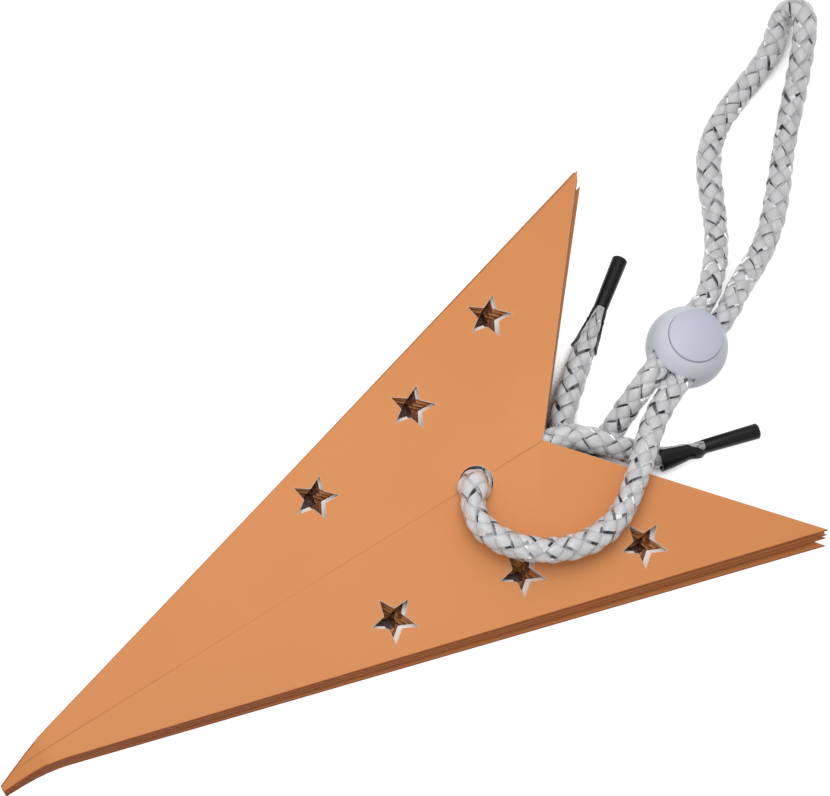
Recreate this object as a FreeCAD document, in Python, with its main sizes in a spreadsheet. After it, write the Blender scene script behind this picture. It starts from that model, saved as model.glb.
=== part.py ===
import FreeCAD, Part
import math
import os

# A paper star lantern, folded flat.
# Seven hollow arms of coloured card are folded flat and glued into one stack. Six small
# star windows and a cord hole are punched through every sheet. A braided cord with a
# ball-shaped cord lock closes the star when it is opened, and the star hangs from it.
#
# Frame: +Z up, the origin on the table under the middle of the stack, +X along the
# crease from the closed tip to the open notch, +Y towards one wing corner.

Vector = FreeCAD.Vector
doc = FreeCAD.newDocument("paper_star")
sheet = doc.addObject("Spreadsheet::Sheet", "sizes")

SIZES = [
    # The opened star, which fixes the outline of each folded arm
    ("star_radius", 150.0, "centre of the opened star to an arm's tip"),
    ("valley_radius", 43.0, "centre of the opened star to the valley between two arms"),
    ("half_depth", 32.0, "middle plane of the opened star to its front apex"),
    ("arm_count", 7, "arms of the star"),
    # The folded stack
    ("card_thickness", 0.28, "one sheet of card"),
    ("fold_gap", 0.14, "space inside a ridge fold"),
    ("stand_off", 0.66, "air at the ridges where an arm stands off the one below"),
    ("arm_clearance", 0.05, "air between neighbouring sheets where they are pressed"),
    ("pocket_opening", 5.0, "space at the notch inside the top arm, where the cord leaves"),
    ("nose_length", 9.0, "length of the pressed, downturned tip"),
    # What is punched through each sheet
    ("window_tip_radius", 4.3, "centre of a star window to its points"),
    ("window_waist_radius", 1.95, "centre of a star window to its inner corners"),
    ("window_turn", -24.5, "degrees from the crease to one point of the window"),
    ("window_1_setback", 29.9, "wing corners to the first pair of windows, along the crease"),
    ("window_1_aside", 25.1, "crease to the first pair of windows"),
    ("window_2_setback", 51.1, "wing corners to the second pair of windows"),
    ("window_2_aside", 18.0, "crease to the second pair of windows"),
    ("window_3_setback", 74.9, "wing corners to the third pair of windows"),
    ("window_3_aside", 13.0, "crease to the third pair of windows"),
    ("creep_along", -0.12, "how far each deeper sheet's windows creep towards the tip"),
    ("creep_aside", 0.09, "how far each deeper sheet's windows creep sideways"),
    ("back_half_offset", 0.9, "sideways miss of the windows in each arm's lower half"),
    ("cord_hole_radius", 3.0, "hole for the cord, on the crease"),
    ("cord_hole_setback", 14.2, "notch to the cord hole, along the crease"),
    # The cord
    ("cord_diameter", 4.4, "the braided cord where it lies free"),
    ("pinched_diameter", 2.4, "the cord where the lock squeezes it"),
    # The cord lock
    ("ball_radius", 7.5, "the lock's ball"),
    ("lock_x", 71.3, "middle of the ball"),
    ("lock_y", 1.2, "middle of the ball"),
    ("lock_yaw", 22.4, "degrees from +X to the way that the cord runs through"),
    ("lock_pitch", 7.0, "degrees that the cord's way dips towards the hanging loop"),
    ("lock_roll", 5.0, "degrees that the ball leans to its right"),
    ("strand_spacing", 4.6, "between the two strands of cord inside the lock"),
    ("strand_height", 1.1, "the strands above the middle of the ball"),
    ("ball_slot_width", 9.2, "the cord's way through the ball"),
    ("ball_slot_height", 4.8, "the cord's way through the ball"),
    ("plunger_radius", 4.9, "the push button"),
    ("plunger_clearance", 0.15, "air between the button and its well"),
    ("plunger_top", 6.9, "top of the button above the middle of the ball"),
    ("plunger_dome_radius", 14.0, "curve of the button's top"),
    ("plunger_slot_width", 7.6, "the cord's way through the button"),
    ("plunger_slot_height", 4.8, "the cord's way through the button"),
    ("plunger_slot_bottom", -0.2, "lower edge of that way at rest"),
    ("plunger_web", 1.0, "plastic under that way"),
    ("plunger_skirt", 1.1, "rim below the web, round the spring"),
    ("spring_seat_radius", 3.4, "recess for the spring under the button"),
    ("ball_floor", 2.8, "plastic between the button's well and the bottom of the ball"),
    ("spring_radius", 2.6, "middle of the spring's wire to its axis"),
    ("spring_wire_radius", 0.2, "the spring's wire"),
    ("spring_turns", 2.5, "turns of the spring"),
    # The barbs on the cord's two ends
    ("barb_grip_length", 5.6, "trough round the end of the cord"),
    ("barb_grip_radius", 2.55, "outside of the trough"),
    ("barb_cord_clearance", 0.05, "air between the cord and its trough"),
    ("barb_neck_length", 3.3, "from the trough to the rod"),
    ("barb_rod_radius", 1.45, "the rod"),
    ("barb_rod_length", 10.3, "the rod, without its chamfered end"),
    ("barb_chamfer", 0.3, "the rod's chamfered end"),
    ("barb_rim_height", 0.6, "the trough's rim at its mouth, above the cord's middle"),
    ("cord_tip_radius", 1.05, "the cord where it is squeezed into the barb's neck"),
]
for row, (alias, value, note) in enumerate(SIZES, start=1):
    sheet.set(f"A{row}", alias)
    sheet.set(f"B{row}", str(value))
    sheet.set(f"C{row}", note)
    sheet.setAlias(f"B{row}", alias)
doc.recompute()


def size(alias):
    return float(sheet.get(alias))


# Outline of a folded arm, from the opened star
# Folded flat, half an arm is a dart: the tip, two wing corners (the star's front and back
# apex) and the notch between them. The crease from tip to notch is the arm's side edge.
arm_count = int(size("arm_count"))
half_turn = math.pi / arm_count
star_radius = size("star_radius")
valley_radius = size("valley_radius")
half_depth = size("half_depth")
ridge_length = math.hypot(star_radius, half_depth)
valley_length = math.hypot(valley_radius, half_depth)
crease_length = math.sqrt(
    star_radius**2 + valley_radius**2 - 2 * star_radius * valley_radius * math.cos(half_turn)
)
tip_angle = math.acos(
    (ridge_length**2 + crease_length**2 - valley_length**2) / (2 * ridge_length * crease_length)
)
wing_x = ridge_length * math.cos(tip_angle)
wing_y = ridge_length * math.sin(tip_angle)
half_length = wing_x / 2

# Heights of the sheets in the stack
# A sheet's lower surface is given by its height at the tip, along the folded ridges and
# at the notch. Arms are glued to their neighbours at the notch only, so at the ridges some
# of them stand off the arm below, and the rest are pressed together.
card = size("card_thickness")
clearance = size("arm_clearance")
nose = size("nose_length")
STANDING_OFF = (1, 6)
POCKET_ARM = 1


def stack_heights():
    """Arm number to its lower and upper sheet, each as (tip, ridge, notch) heights."""
    tip = ridge = notch = 0.0
    found = {}
    for arm in range(arm_count, 0, -1):
        if arm in STANDING_OFF:
            ridge += size("stand_off") - clearance
        lower = (tip, ridge, notch)
        inside = size("pocket_opening") if arm == POCKET_ARM else clearance
        upper = (tip + card + clearance, ridge + card + size("fold_gap"), notch + card + inside)
        found[arm] = (lower, upper)
        tip, ridge, notch = (level + card + clearance for level in upper)
    return found


def height(levels, x, y):
    """Height of a sheet's lower surface: one plane each side of the crease, and a nose."""
    tip, ridge, notch = levels
    if x >= nose - 1e-9:
        share = x / crease_length - abs(y) * wing_x / (crease_length * wing_y)
        return ridge + (notch - ridge) * share
    nose_end = ridge + (notch - ridge) * nose / crease_length
    aside = abs(y) / (nose * math.tan(tip_angle))
    return tip + (nose_end - tip) * x / nose + (ridge - nose_end) * aside


def polygon(points):
    return Part.Face(Part.makePolygon(points + points[:1]))


def column(plan, low, high, thickness=0.0):
    """Solid over a plan polygon, from one surface up to another plus a thickness."""
    bottom = [Vector(x, y, height(low, x, y)) for x, y in plan]
    top = [Vector(x, y, height(high, x, y) + thickness) for x, y in plan]
    faces = [polygon(bottom), polygon(top)]
    for i in range(len(plan)):
        j = (i + 1) % len(plan)
        faces.append(polygon([bottom[i], bottom[j], top[j], top[i]]))
    solid = Part.Solid(Part.Shell(faces))
    if solid.Volume < 0:
        solid.reverse()
    return solid


def sheet_plans():
    """Plan polygons of one dart: the nose and the flat wing, each side of the crease."""
    nose_y = nose * math.tan(tip_angle)
    plans = []
    for side in (1, -1):
        plans.append([(0, 0), (nose, 0), (nose, side * nose_y)])
        plans.append([(nose, 0), (crease_length, 0), (wing_x, side * wing_y), (nose, side * nose_y)])
    return plans


def fold_plans():
    """Plan strips, one card wide, where an arm's two sheets meet in the ridge folds."""
    slope = math.tan(tip_angle)
    inner_tip = card / math.sin(tip_angle)
    nose_y = nose * slope
    inner_nose_y = (nose - inner_tip) * slope
    valley_slope = wing_y / (wing_x - crease_length)
    inner_wing_x = (valley_slope * crease_length - slope * inner_tip) / (valley_slope - slope)
    inner_wing_y = (inner_wing_x - inner_tip) * slope
    plans = []
    for side in (1, -1):
        plans.append([(0, 0), (nose, side * nose_y), (nose, side * inner_nose_y), (inner_tip, 0)])
        plans.append(
            [
                (nose, side * nose_y),
                (wing_x, side * wing_y),
                (inner_wing_x, side * inner_wing_y),
                (nose, side * inner_nose_y),
            ]
        )
    return plans


stack = stack_heights()
stack_top = max(max(levels) for levels in stack[1]) + card
WINDOW_POINTS = 5


def upright(face, bottom=-1.0):
    face.translate(Vector(0, 0, bottom))
    return face.extrude(Vector(0, 0, stack_top + 1.0 - bottom))


def star_window(along, aside, side):
    """A tall five-pointed cutter; the windows of the two wings mirror each other."""
    points = []
    for i in range(2 * WINDOW_POINTS):
        radius = size("window_waist_radius") if i % 2 else size("window_tip_radius")
        angle = math.radians(size("window_turn")) + math.pi * i / WINDOW_POINTS
        points.append(
            Vector(along + radius * math.cos(angle), side * (aside + radius * math.sin(angle)), 0)
        )
    return upright(polygon(points))


def punch():
    """Everything that is punched through a sheet, as one tool."""
    cutters = []
    for pair in (1, 2, 3):
        for side in (1, -1):
            along = wing_x - size(f"window_{pair}_setback")
            cutters.append(star_window(along, size(f"window_{pair}_aside"), side))
    rim = Part.Circle(
        Vector(crease_length - size("cord_hole_setback"), 0, 0), Vector(0, 0, 1), size("cord_hole_radius")
    )
    cutters.append(upright(Part.Face(Part.Wire(rim.toShape()))))
    return Part.makeCompound(cutters)


def punched_sheet(levels, depth):
    """One half of an arm: a creased dart of card, `depth` sheets below the top one."""
    plates = [column(plan, levels, levels, card) for plan in sheet_plans()]
    dart = plates[0].fuse(plates[1:]).removeSplitter()
    tool = punch()
    miss = size("back_half_offset") if depth % 2 else 0.0
    tool.translate(
        Vector(size("creep_along") * depth, size("creep_aside") * depth + miss, 0)
    )
    return dart.cut(tool)


# How far each arm lies turned about the tip, in degrees, as the stack was put down
ARM_TURNS = {1: 0.0, 2: 0.18, 3: -0.12, 4: 0.1, 5: -0.2, 6: 0.12, 7: -0.55}


def folded_arm(arm):
    """One arm: a single folded piece of card, its two halves joined in the ridge folds."""
    lower, upper = stack[arm]
    depth = 2 * (arm - 1)
    halves = [punched_sheet(lower, depth + 1), punched_sheet(upper, depth)]
    folds = [column(plan, lower, upper, card) for plan in fold_plans()]
    shape = halves[0].fuse(halves[1:] + folds).removeSplitter()
    turn = FreeCAD.Rotation(Vector(0, 0, 1), ARM_TURNS.get(arm, 0.0))
    node = doc.addObject("Part::Feature", f"arm_{arm}")
    node.Label = f"arm_{arm}"
    node.Shape = shape.Solids[0] if len(shape.Solids) == 1 else shape
    node.Placement = FreeCAD.Placement(Vector(-half_length, 0, 0), turn)
    return node


nodes = [folded_arm(arm) for arm in range(1, arm_count + 1)]

# The cord lock's own frame
# Its X runs the way of the cord, its Z is the push button's axis, and its origin is the
# middle of the ball, which lies on the table.
lock_place = FreeCAD.Placement(
    Vector(size("lock_x"), size("lock_y"), size("ball_radius")),
    FreeCAD.Rotation(size("lock_yaw"), size("lock_pitch"), size("lock_roll")),
)


def primitive(kind, name, place=None, **expressions):
    """A Part primitive whose sizes are expressions over the sheet."""
    made = doc.addObject(f"Part::{kind}", name)
    if place is not None:
        made.Placement = place
    for prop, expression in expressions.items():
        made.setExpression(prop.replace("__", "."), expression)
    return made


def combined(kind, name, first, second):
    made = doc.addObject(f"Part::{kind}", name)
    if kind == "MultiFuse":
        made.Shapes = [first] + second
    else:
        made.Base = first
        made.Tool = second
    made.Refine = True
    return made


def across(name, width, low, tall):
    """A box-shaped way for the cord along X, right through the ball."""
    return primitive(
        "Box",
        name,
        Length="4 * sizes.ball_radius",
        Width=width,
        Height=tall,
        Placement__Base__x="-2 * sizes.ball_radius",
        Placement__Base__y=f"-({width}) / 2",
        Placement__Base__z=low,
    )


def lock_body():
    ball = primitive("Sphere", "ball", Radius="sizes.ball_radius")
    well = primitive(
        "Cylinder",
        "plunger_well",
        Radius="sizes.plunger_radius + sizes.plunger_clearance",
        Height="2 * sizes.ball_radius",
        Placement__Base__z="sizes.ball_floor - sizes.ball_radius",
    )
    way = across(
        "ball_slot", "sizes.ball_slot_width", "-sizes.ball_slot_height / 2", "sizes.ball_slot_height"
    )
    drilled = combined("Cut", "ball_with_well", ball, well)
    body = combined("Cut", "cord_lock_body", drilled, way)
    body.Placement = lock_place
    return body


def lock_plunger():
    skirt_bottom = "sizes.plunger_slot_bottom - sizes.plunger_web - sizes.plunger_skirt"
    post = primitive(
        "Cylinder",
        "plunger_post",
        Radius="sizes.plunger_radius",
        Height=f"sizes.plunger_top - ({skirt_bottom})",
        Placement__Base__z=skirt_bottom,
    )
    dome = primitive(
        "Sphere",
        "plunger_dome",
        Radius="sizes.plunger_dome_radius",
        Placement__Base__z="sizes.plunger_top - sizes.plunger_dome_radius",
    )
    seat = primitive(
        "Cylinder",
        "spring_seat",
        Radius="sizes.spring_seat_radius",
        Height="2 * sizes.plunger_skirt",
        Placement__Base__z=f"{skirt_bottom} - sizes.plunger_skirt",
    )
    way = across(
        "plunger_slot",
        "sizes.plunger_slot_width",
        "sizes.plunger_slot_bottom",
        "sizes.plunger_slot_height",
    )
    domed = combined("Common", "domed_post", post, dome)
    seated = combined("Cut", "seated_post", domed, seat)
    plunger = combined("Cut", "cord_lock_plunger", seated, way)
    plunger.Placement = lock_place
    return plunger


def lock_spring():
    """A short coil between the well's floor and the web of the button."""
    web_bottom = "sizes.plunger_slot_bottom - sizes.plunger_web"
    well_floor = "(sizes.ball_floor - sizes.ball_radius)"
    room = f"{web_bottom} - {well_floor} - 2 * sizes.spring_wire_radius"
    coil = primitive(
        "Helix",
        "spring_line",
        Radius="sizes.spring_radius",
        Height=f"{room} - 4 * sizes.arm_clearance",
        Pitch=f"({room} - 4 * sizes.arm_clearance) / sizes.spring_turns",
    )
    wire = primitive("Circle", "spring_section", Radius="sizes.spring_wire_radius")
    wire.Placement = FreeCAD.Placement(
        Vector(size("spring_radius"), 0, 0), FreeCAD.Rotation(Vector(1, 0, 0), 90)
    )
    doc.recompute()
    spring = doc.addObject("Part::Sweep", "cord_lock_spring")
    spring.Sections = [wire]
    spring.Spine = (coil, [f"Edge{i + 1}" for i in range(len(coil.Shape.Edges))])
    spring.Solid = True
    spring.Frenet = True
    floor = size("ball_floor") - size("ball_radius")
    rise = floor + size("spring_wire_radius") + 2 * clearance
    spring.Placement = lock_place.multiply(FreeCAD.Placement(Vector(0, 0, rise), FreeCAD.Rotation()))
    return spring


nodes += [lock_body(), lock_plunger(), lock_spring()]

# The cord's way
# One cord, from the barb beside the notch, round under its other end, up through the lock,
# round the hanging loop, back through the lock, over the top sheet, down the cord hole and
# out of the notch to the second barb. Points are chosen by eye, in the part's frame.
cord_diameter = size("cord_diameter")
lock_reach = 10.6


def in_lock(along, side):
    """A point on the straight way of one strand through the lock."""
    local = Vector(along, side * size("strand_spacing") / 2, size("strand_height"))
    return lock_place.multVec(local)


BACK_STRAND = [
    (61.1, 15.0, 2.65),
    (55.6, 11.1, 2.65),
    (51.0, 7.4, 2.4),
    (47.0, 4.1, 2.3),
    (44.4, 1.5, 2.3),
    (44.4, -2.1, 2.3),
    (47.0, -4.7, 2.3),
    (50.8, -4.5, 2.9),
    (54.1, -3.1, 5.5),
    (57.3, -1.9, 7.9),
]
LOOP = [
    (83.0, 9.8, 6.6),
    (86.8, 13.2, 4.2),
    (90.6, 18.2, 2.6),
    (94.1, 25.0, 2.3),
    (97.4, 31.0, 2.3),
    (102.6, 35.2, 2.3),
    (109.6, 38.1, 2.3),
    (116.2, 40.4, 2.3),
    (121.3, 43.2, 2.3),
    (125.5, 46.9, 2.4),
    (128.1, 46.4, 5.2),
    (127.4, 42.6, 6.9),
    (123.6, 38.1, 5.6),
    (119.7, 33.9, 3.6),
    (115.2, 29.5, 2.4),
    (110.4, 24.6, 2.3),
    (105.2, 18.8, 2.3),
    (99.8, 13.3, 2.4),
    (94.6, 9.7, 3.0),
    (89.6, 7.4, 4.3),
    (84.8, 4.9, 6.8),
]
FRONT_STRAND = [
    (57.7, -7.6, 9.7),
    (53.5, -11.0, 10.4),
    (49.2, -14.6, 10.9),
    (43.2, -19.0, 11.1),
    (36.4, -20.6, 11.3),
    (29.6, -18.9, 11.6),
    (24.4, -15.3, 12.0),
    (20.8, -10.8, 12.4),
    (20.0, -5.6, 12.4),
    (22.9, -1.2, 11.2),
    (25.3, 0.3, 6.45),
    (31.4, 0.1, 6.66),
    (38.0, 0.1, 6.78),
    (43.6, -0.9, 7.0),
    (47.6, -4.6, 6.85),
    (51.6, -8.4, 5.0),
    (55.7, -12.4, 2.65),
    (61.9, -14.1, 2.65),
]


def rounded(points):
    """Straight runs joined by tangent arcs, each as large as its two runs allow."""
    edges = []
    radii = []
    start = points[0]
    for before, corner, after in zip(points, points[1:], points[2:]):
        into = corner - before
        out = after - corner
        turn = into.getAngle(out)
        reach = 0.45 * min(into.Length, out.Length)
        radii.append(reach / math.tan(turn / 2))
        enter = corner - into.normalize() * reach
        leave = corner + out.normalize() * reach
        bulge = (enter + leave) * 0.5 - corner
        middle = corner + bulge.normalize() * (radii[-1] / math.cos(turn / 2) - radii[-1])
        edges.append(Part.LineSegment(start, enter).toShape())
        edges.append(Part.Arc(enter, middle, leave).toShape())
        start = leave
    edges.append(Part.LineSegment(start, points[-1]).toShape())
    return Part.Wire(edges), radii


def tube(points, diameter):
    """A round tube along a route, with the route's arc radii."""
    path, radii = rounded(points)
    ring = Part.Circle(points[0], points[1] - points[0], diameter / 2).toShape()
    solid = path.makePipeShell([Part.Wire(ring)], True, False)
    return solid, radii, path.Length


def vectors(rows):
    return [Vector(*row) for row in rows]


mouth = size("ball_radius") + 0.1
stretches = {
    "back strand": vectors(BACK_STRAND) + [in_lock(-lock_reach, 1), in_lock(-mouth, 1)],
    "loop": [in_lock(mouth, 1), in_lock(lock_reach, 1)]
    + vectors(LOOP)
    + [in_lock(lock_reach, -1), in_lock(mouth, -1)],
    "front strand": [in_lock(-mouth, -1), in_lock(-lock_reach, -1)] + vectors(FRONT_STRAND),
}


def cord():
    pieces = []
    total = 0.0
    expected = 0.0
    for name, points in stretches.items():
        solid, radii, length = tube(points, cord_diameter)
        print(name, "length", round(length, 1), "volume", round(solid.Volume, 1))
        print("  arc radii", [round(radius, 1) for radius in radii])
        pieces.append(solid)
        total += length
        expected += length * math.pi * cord_diameter**2 / 4
    pinched = size("pinched_diameter")
    for side in (1, -1):
        start = in_lock(-mouth, side)
        way = in_lock(mouth, side) - start
        pieces.append(Part.makeCylinder(pinched / 2, way.Length, start, way))
        total += way.Length
        expected += way.Length * math.pi * pinched**2 / 4
    narrow = size("cord_tip_radius")
    squeezed = size("barb_neck_length") - 2 * clearance
    for ends in (stretches["back strand"][:2], stretches["front strand"][:-3:-1]):
        pieces.append(Part.makeCone(cord_diameter / 2, narrow, squeezed, ends[0], ends[0] - ends[1]))
        total += squeezed
        expected += pieces[-1].Volume
    shape = pieces[0].fuse(pieces[1:])
    print("cord length", round(total, 1), "volume", round(shape.Volume, 1), "expected", round(expected, 1))
    node = doc.addObject("Part::Feature", "cord")
    node.Shape = shape.Solids[0] if len(shape.Solids) == 1 else shape
    return node


nodes.append(cord())


def facing(point, back):
    """Placement at the cord's end, with +X on along the cord and +Y level."""
    ahead = (point - back).normalize()
    level = Vector(0, 0, 1).cross(ahead).normalize()
    return FreeCAD.Placement(point, FreeCAD.Rotation(ahead, level, Vector(0, 0, 1), "XYZ"))


def ring(name, radius, along, low):
    """A circle across the barb, for a loft; `low` is how far it lies below the cord's middle."""
    turned = FreeCAD.Placement(Vector(), FreeCAD.Rotation(Vector(0, 1, 0), 90))
    return primitive(
        "Circle",
        name,
        turned,
        Radius=radius,
        Placement__Base__x=along,
        Placement__Base__z=f"-({low})",
    )


def loft(name, rings):
    made = doc.addObject("Part::Loft", name)
    made.Sections = rings
    made.Solid = True
    made.Ruled = True
    return made


def barb(name, place):
    """A barb of rolled sheet: a trough round the cord's end, a neck and a rod, flush below."""
    grip = "sizes.barb_grip_radius"
    rod = "sizes.barb_rod_radius"
    neck = "sizes.barb_neck_length"
    length = "sizes.barb_rod_length"
    chamfer = "sizes.barb_chamfer"
    drop = f"{grip} - {rod}"
    outside = loft(
        f"{name}_outside",
        [
            ring(f"{name}_mouth", grip, "-sizes.barb_grip_length", "0"),
            ring(f"{name}_grip_end", grip, "0", "0"),
            ring(f"{name}_neck_end", rod, neck, drop),
            ring(f"{name}_rod_end", rod, f"{neck} + {length}", drop),
            ring(f"{name}_tip", f"{rod} - {chamfer}", f"{neck} + {length} + {chamfer}", drop),
        ],
    )
    bore = "sizes.cord_diameter / 2 + sizes.barb_cord_clearance"
    tip_bore = "sizes.cord_tip_radius + sizes.barb_cord_clearance"
    inside = loft(
        f"{name}_inside",
        [
            ring(f"{name}_bore_mouth", bore, "-2 * sizes.barb_grip_length", "0"),
            ring(f"{name}_bore_end", bore, "0", "0"),
            ring(f"{name}_bore_tip", tip_bore, neck, "0"),
        ],
    )
    opening = primitive(
        "Box",
        f"{name}_opening",
        Length=f"2 * sizes.barb_grip_length + {neck}",
        Width=f"4 * {grip}",
        Height=f"4 * {grip}",
        Placement__Base__x="-2 * sizes.barb_grip_length",
        Placement__Base__y=f"-2 * {grip}",
        Placement__Base__z="sizes.barb_rim_height",
    )
    hollow = combined("Cut", f"{name}_hollow", outside, inside)
    made = combined("Cut", name, hollow, opening)
    made.Placement = place
    return made


first, last = stretches["back strand"], stretches["front strand"]
nodes.append(barb("barb_1", facing(first[0], first[1])))
nodes.append(barb("barb_2", facing(last[-1], last[-2])))

doc.recompute()

# Every object is looked at before anything is written
for item in doc.Objects:
    if "Invalid" in item.State or "Error" in item.State:
        raise RuntimeError(f"{item.Name} didn't compute: {item.State}")
for node in nodes:
    node.Label = node.Name
    if node.Shape.isNull() or not node.Shape.isValid():
        raise RuntimeError(f"{node.Name} has no valid shape")
    if len(node.Shape.Solids) != 1:
        raise RuntimeError(f"{node.Name} has {len(node.Shape.Solids)} solids")

print("crease", round(crease_length, 2), "wing", round(wing_x, 2), round(wing_y, 2))
os.makedirs("parts", exist_ok=True)
for node in nodes:
    node.Shape.exportStep(f"parts/{node.Label}.step")
    box = node.Shape.BoundBox
    low = [round(v, 2) for v in (box.XMin, box.YMin, box.ZMin)]
    high = [round(v, 2) for v in (box.XMax, box.YMax, box.ZMax)]
    print(node.Label, "volume", round(node.Shape.Volume, 1), low, high)
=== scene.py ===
# %% [markdown]
# # A paper star lantern, folded flat
#
# Seven hollow arms of coppery card lie folded on each other. A braided cord with silver
# tinsel comes out of a hole in the top sheet, runs through a ball-shaped cord lock, makes the
# hanging loop, and ends in two black barbs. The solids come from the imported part. This file
# gives them their finish, and puts finely modelled pieces in place of the plain ones.

# %% Load the solids
import math

import bpy
import numpy as np
from mathutils import Euler, Matrix, Vector
from mathutils.bvhtree import BVHTree


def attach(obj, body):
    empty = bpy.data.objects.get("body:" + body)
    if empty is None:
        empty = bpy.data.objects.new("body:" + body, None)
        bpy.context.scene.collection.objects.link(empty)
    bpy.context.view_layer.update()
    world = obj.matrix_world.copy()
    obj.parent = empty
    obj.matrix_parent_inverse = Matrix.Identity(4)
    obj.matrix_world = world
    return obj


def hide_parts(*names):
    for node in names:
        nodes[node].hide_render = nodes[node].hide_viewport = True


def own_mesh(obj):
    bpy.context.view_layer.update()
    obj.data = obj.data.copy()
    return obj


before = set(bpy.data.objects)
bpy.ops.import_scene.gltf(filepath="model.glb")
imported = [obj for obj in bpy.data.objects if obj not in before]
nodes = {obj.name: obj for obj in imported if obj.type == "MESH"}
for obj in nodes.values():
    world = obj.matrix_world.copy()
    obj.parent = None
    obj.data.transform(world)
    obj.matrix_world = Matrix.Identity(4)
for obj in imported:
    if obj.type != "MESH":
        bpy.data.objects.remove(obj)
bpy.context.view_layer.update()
MM = 0.001
print("solids:", sorted(nodes))

# %% [markdown]
# ## Colours
#
# A colour is easiest to pick as a screen shows it, from 0 to 255 a channel. Blender works in
# linear light, where the same numbers would look washed out, so one helper changes them over.

# %% Screen colour to linear light


def colour(red, green, blue):
    """A screen colour as linear light with full alpha."""
    linear = []
    for level in (red, green, blue):
        share = level / 255
        linear.append(share / 12.92 if share <= 0.04045 else ((share + 0.055) / 1.055) ** 2.4)
    return (*linear, 1)


print("copper in linear light:", [round(level, 3) for level in colour(214, 135, 74)])

# %% [markdown]
# ## Materials in code
#
# A material is a small network of nodes. By hand each node is added from a menu and wired
# with the mouse. In code the same few moves come back all the time: add a node and fill in
# its values, do a sum with one, and mix two colours. So each of them is a helper.

# %% Node helpers


def new_material(name):
    """A material with its node tree and its main shader."""
    material = bpy.data.materials.new(name)
    material.use_nodes = True
    tree = material.node_tree
    return material, tree, tree.nodes["Principled BSDF"]


def add(tree, kind, **values):
    """A node with some of its settings or inputs filled in."""
    node = tree.nodes.new(kind)
    for name, value in values.items():
        if hasattr(node, name):
            setattr(node, name, value)
        else:
            node.inputs[name.replace("_", " ")].default_value = value
    return node


def maths(tree, operation, first, second=None, third=None):
    """A Math node between sockets or plain numbers; gives its output."""
    node = tree.nodes.new("ShaderNodeMath")
    node.operation = operation
    for slot, value in zip(node.inputs, (first, second, third)):
        if value is None:
            continue
        if isinstance(value, (int, float)):
            slot.default_value = value
        else:
            tree.links.new(value, slot)
    return node.outputs[0]


def mix(tree, share, first, second):
    """A colour Mix node; each of its inputs is a socket or a colour."""
    node = tree.nodes.new("ShaderNodeMix")
    node.data_type = "RGBA"
    for slot, value in zip((node.inputs[0], node.inputs[6], node.inputs[7]), (share, first, second)):
        if isinstance(value, bpy.types.NodeSocket):
            tree.links.new(value, slot)
        else:
            slot.default_value = value
    return node.outputs[2]


print("node helpers: new_material, add, maths, mix")

# %% [markdown]
# ## Fine unevenness
#
# Card and moulded plastic both have a fine grain and slow swells that catch the light. Each
# material could have its own noise, but the effect is the same one at other sizes. So it is
# one node group with a few named inputs, and each material sets its own values.

# %% The grain group
grain = bpy.data.node_groups.new("fine grain and swell", "ShaderNodeTree")
for name, start in (("Grain Scale", 900.0), ("Swell Scale", 30.0), ("Swell Share", 0.5)):
    socket = grain.interface.new_socket(name, in_out="INPUT", socket_type="NodeSocketFloat")
    socket.default_value = start
for name in ("Height", "Mottle"):
    grain.interface.new_socket(name, in_out="OUTPUT", socket_type="NodeSocketFloat")
inlet = grain.nodes.new("NodeGroupInput")
outlet = grain.nodes.new("NodeGroupOutput")
place = grain.nodes.new("ShaderNodeTexCoord")
fine = add(grain, "ShaderNodeTexNoise", Detail=3.0, Roughness=0.6)
slow = add(grain, "ShaderNodeTexNoise", Detail=1.0, Roughness=0.4)
for noise, scale in ((fine, "Grain Scale"), (slow, "Swell Scale")):
    grain.links.new(place.outputs["Object"], noise.inputs["Vector"])
    grain.links.new(inlet.outputs[scale], noise.inputs["Scale"])
grain_share = maths(grain, "SUBTRACT", 1.0, inlet.outputs["Swell Share"])
fine_part = maths(grain, "MULTIPLY", fine.outputs["Fac"], grain_share)
slow_part = maths(grain, "MULTIPLY", slow.outputs["Fac"], inlet.outputs["Swell Share"])
grain.links.new(maths(grain, "ADD", fine_part, slow_part), outlet.inputs["Height"])
grain.links.new(slow.outputs["Fac"], outlet.inputs["Mottle"])
print("group:", grain.name, "with", len(grain.nodes), "nodes")

# %% [markdown]
# The group's height only shows once a Bump node turns it into a tilt of the surface. That is
# the same three wires in every material, so a helper lays them.

# %% Bump a surface with the grain


def unevenness(tree, shader, distance, **values):
    """Put the grain group in a material and bump its surface with it."""
    group = tree.nodes.new("ShaderNodeGroup")
    group.node_tree = grain
    for name, value in values.items():
        group.inputs[name.replace("_", " ")].default_value = value
    bump = add(tree, "ShaderNodeBump", Distance=distance, Strength=1.0)
    tree.links.new(group.outputs["Height"], bump.inputs["Height"])
    tree.links.new(bump.outputs["Normal"], shader.inputs["Normal"])
    return group


print("the grain group puts out", [socket.name for socket in grain.interface.items_tree][:2])

# %% [markdown]
# ## Painted shade along the score
#
# The card was pressed along the crease into a shallow groove, which shows as a thin darker
# line. It could be a groove in the mesh, but it is hardly deep. So its shade is painted with a
# mask: how far a point lies from the crease, faded in patches by a noise.

# %% A mask for the painted score shade
SCORE_WIDTH = 0.17 * MM


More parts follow.
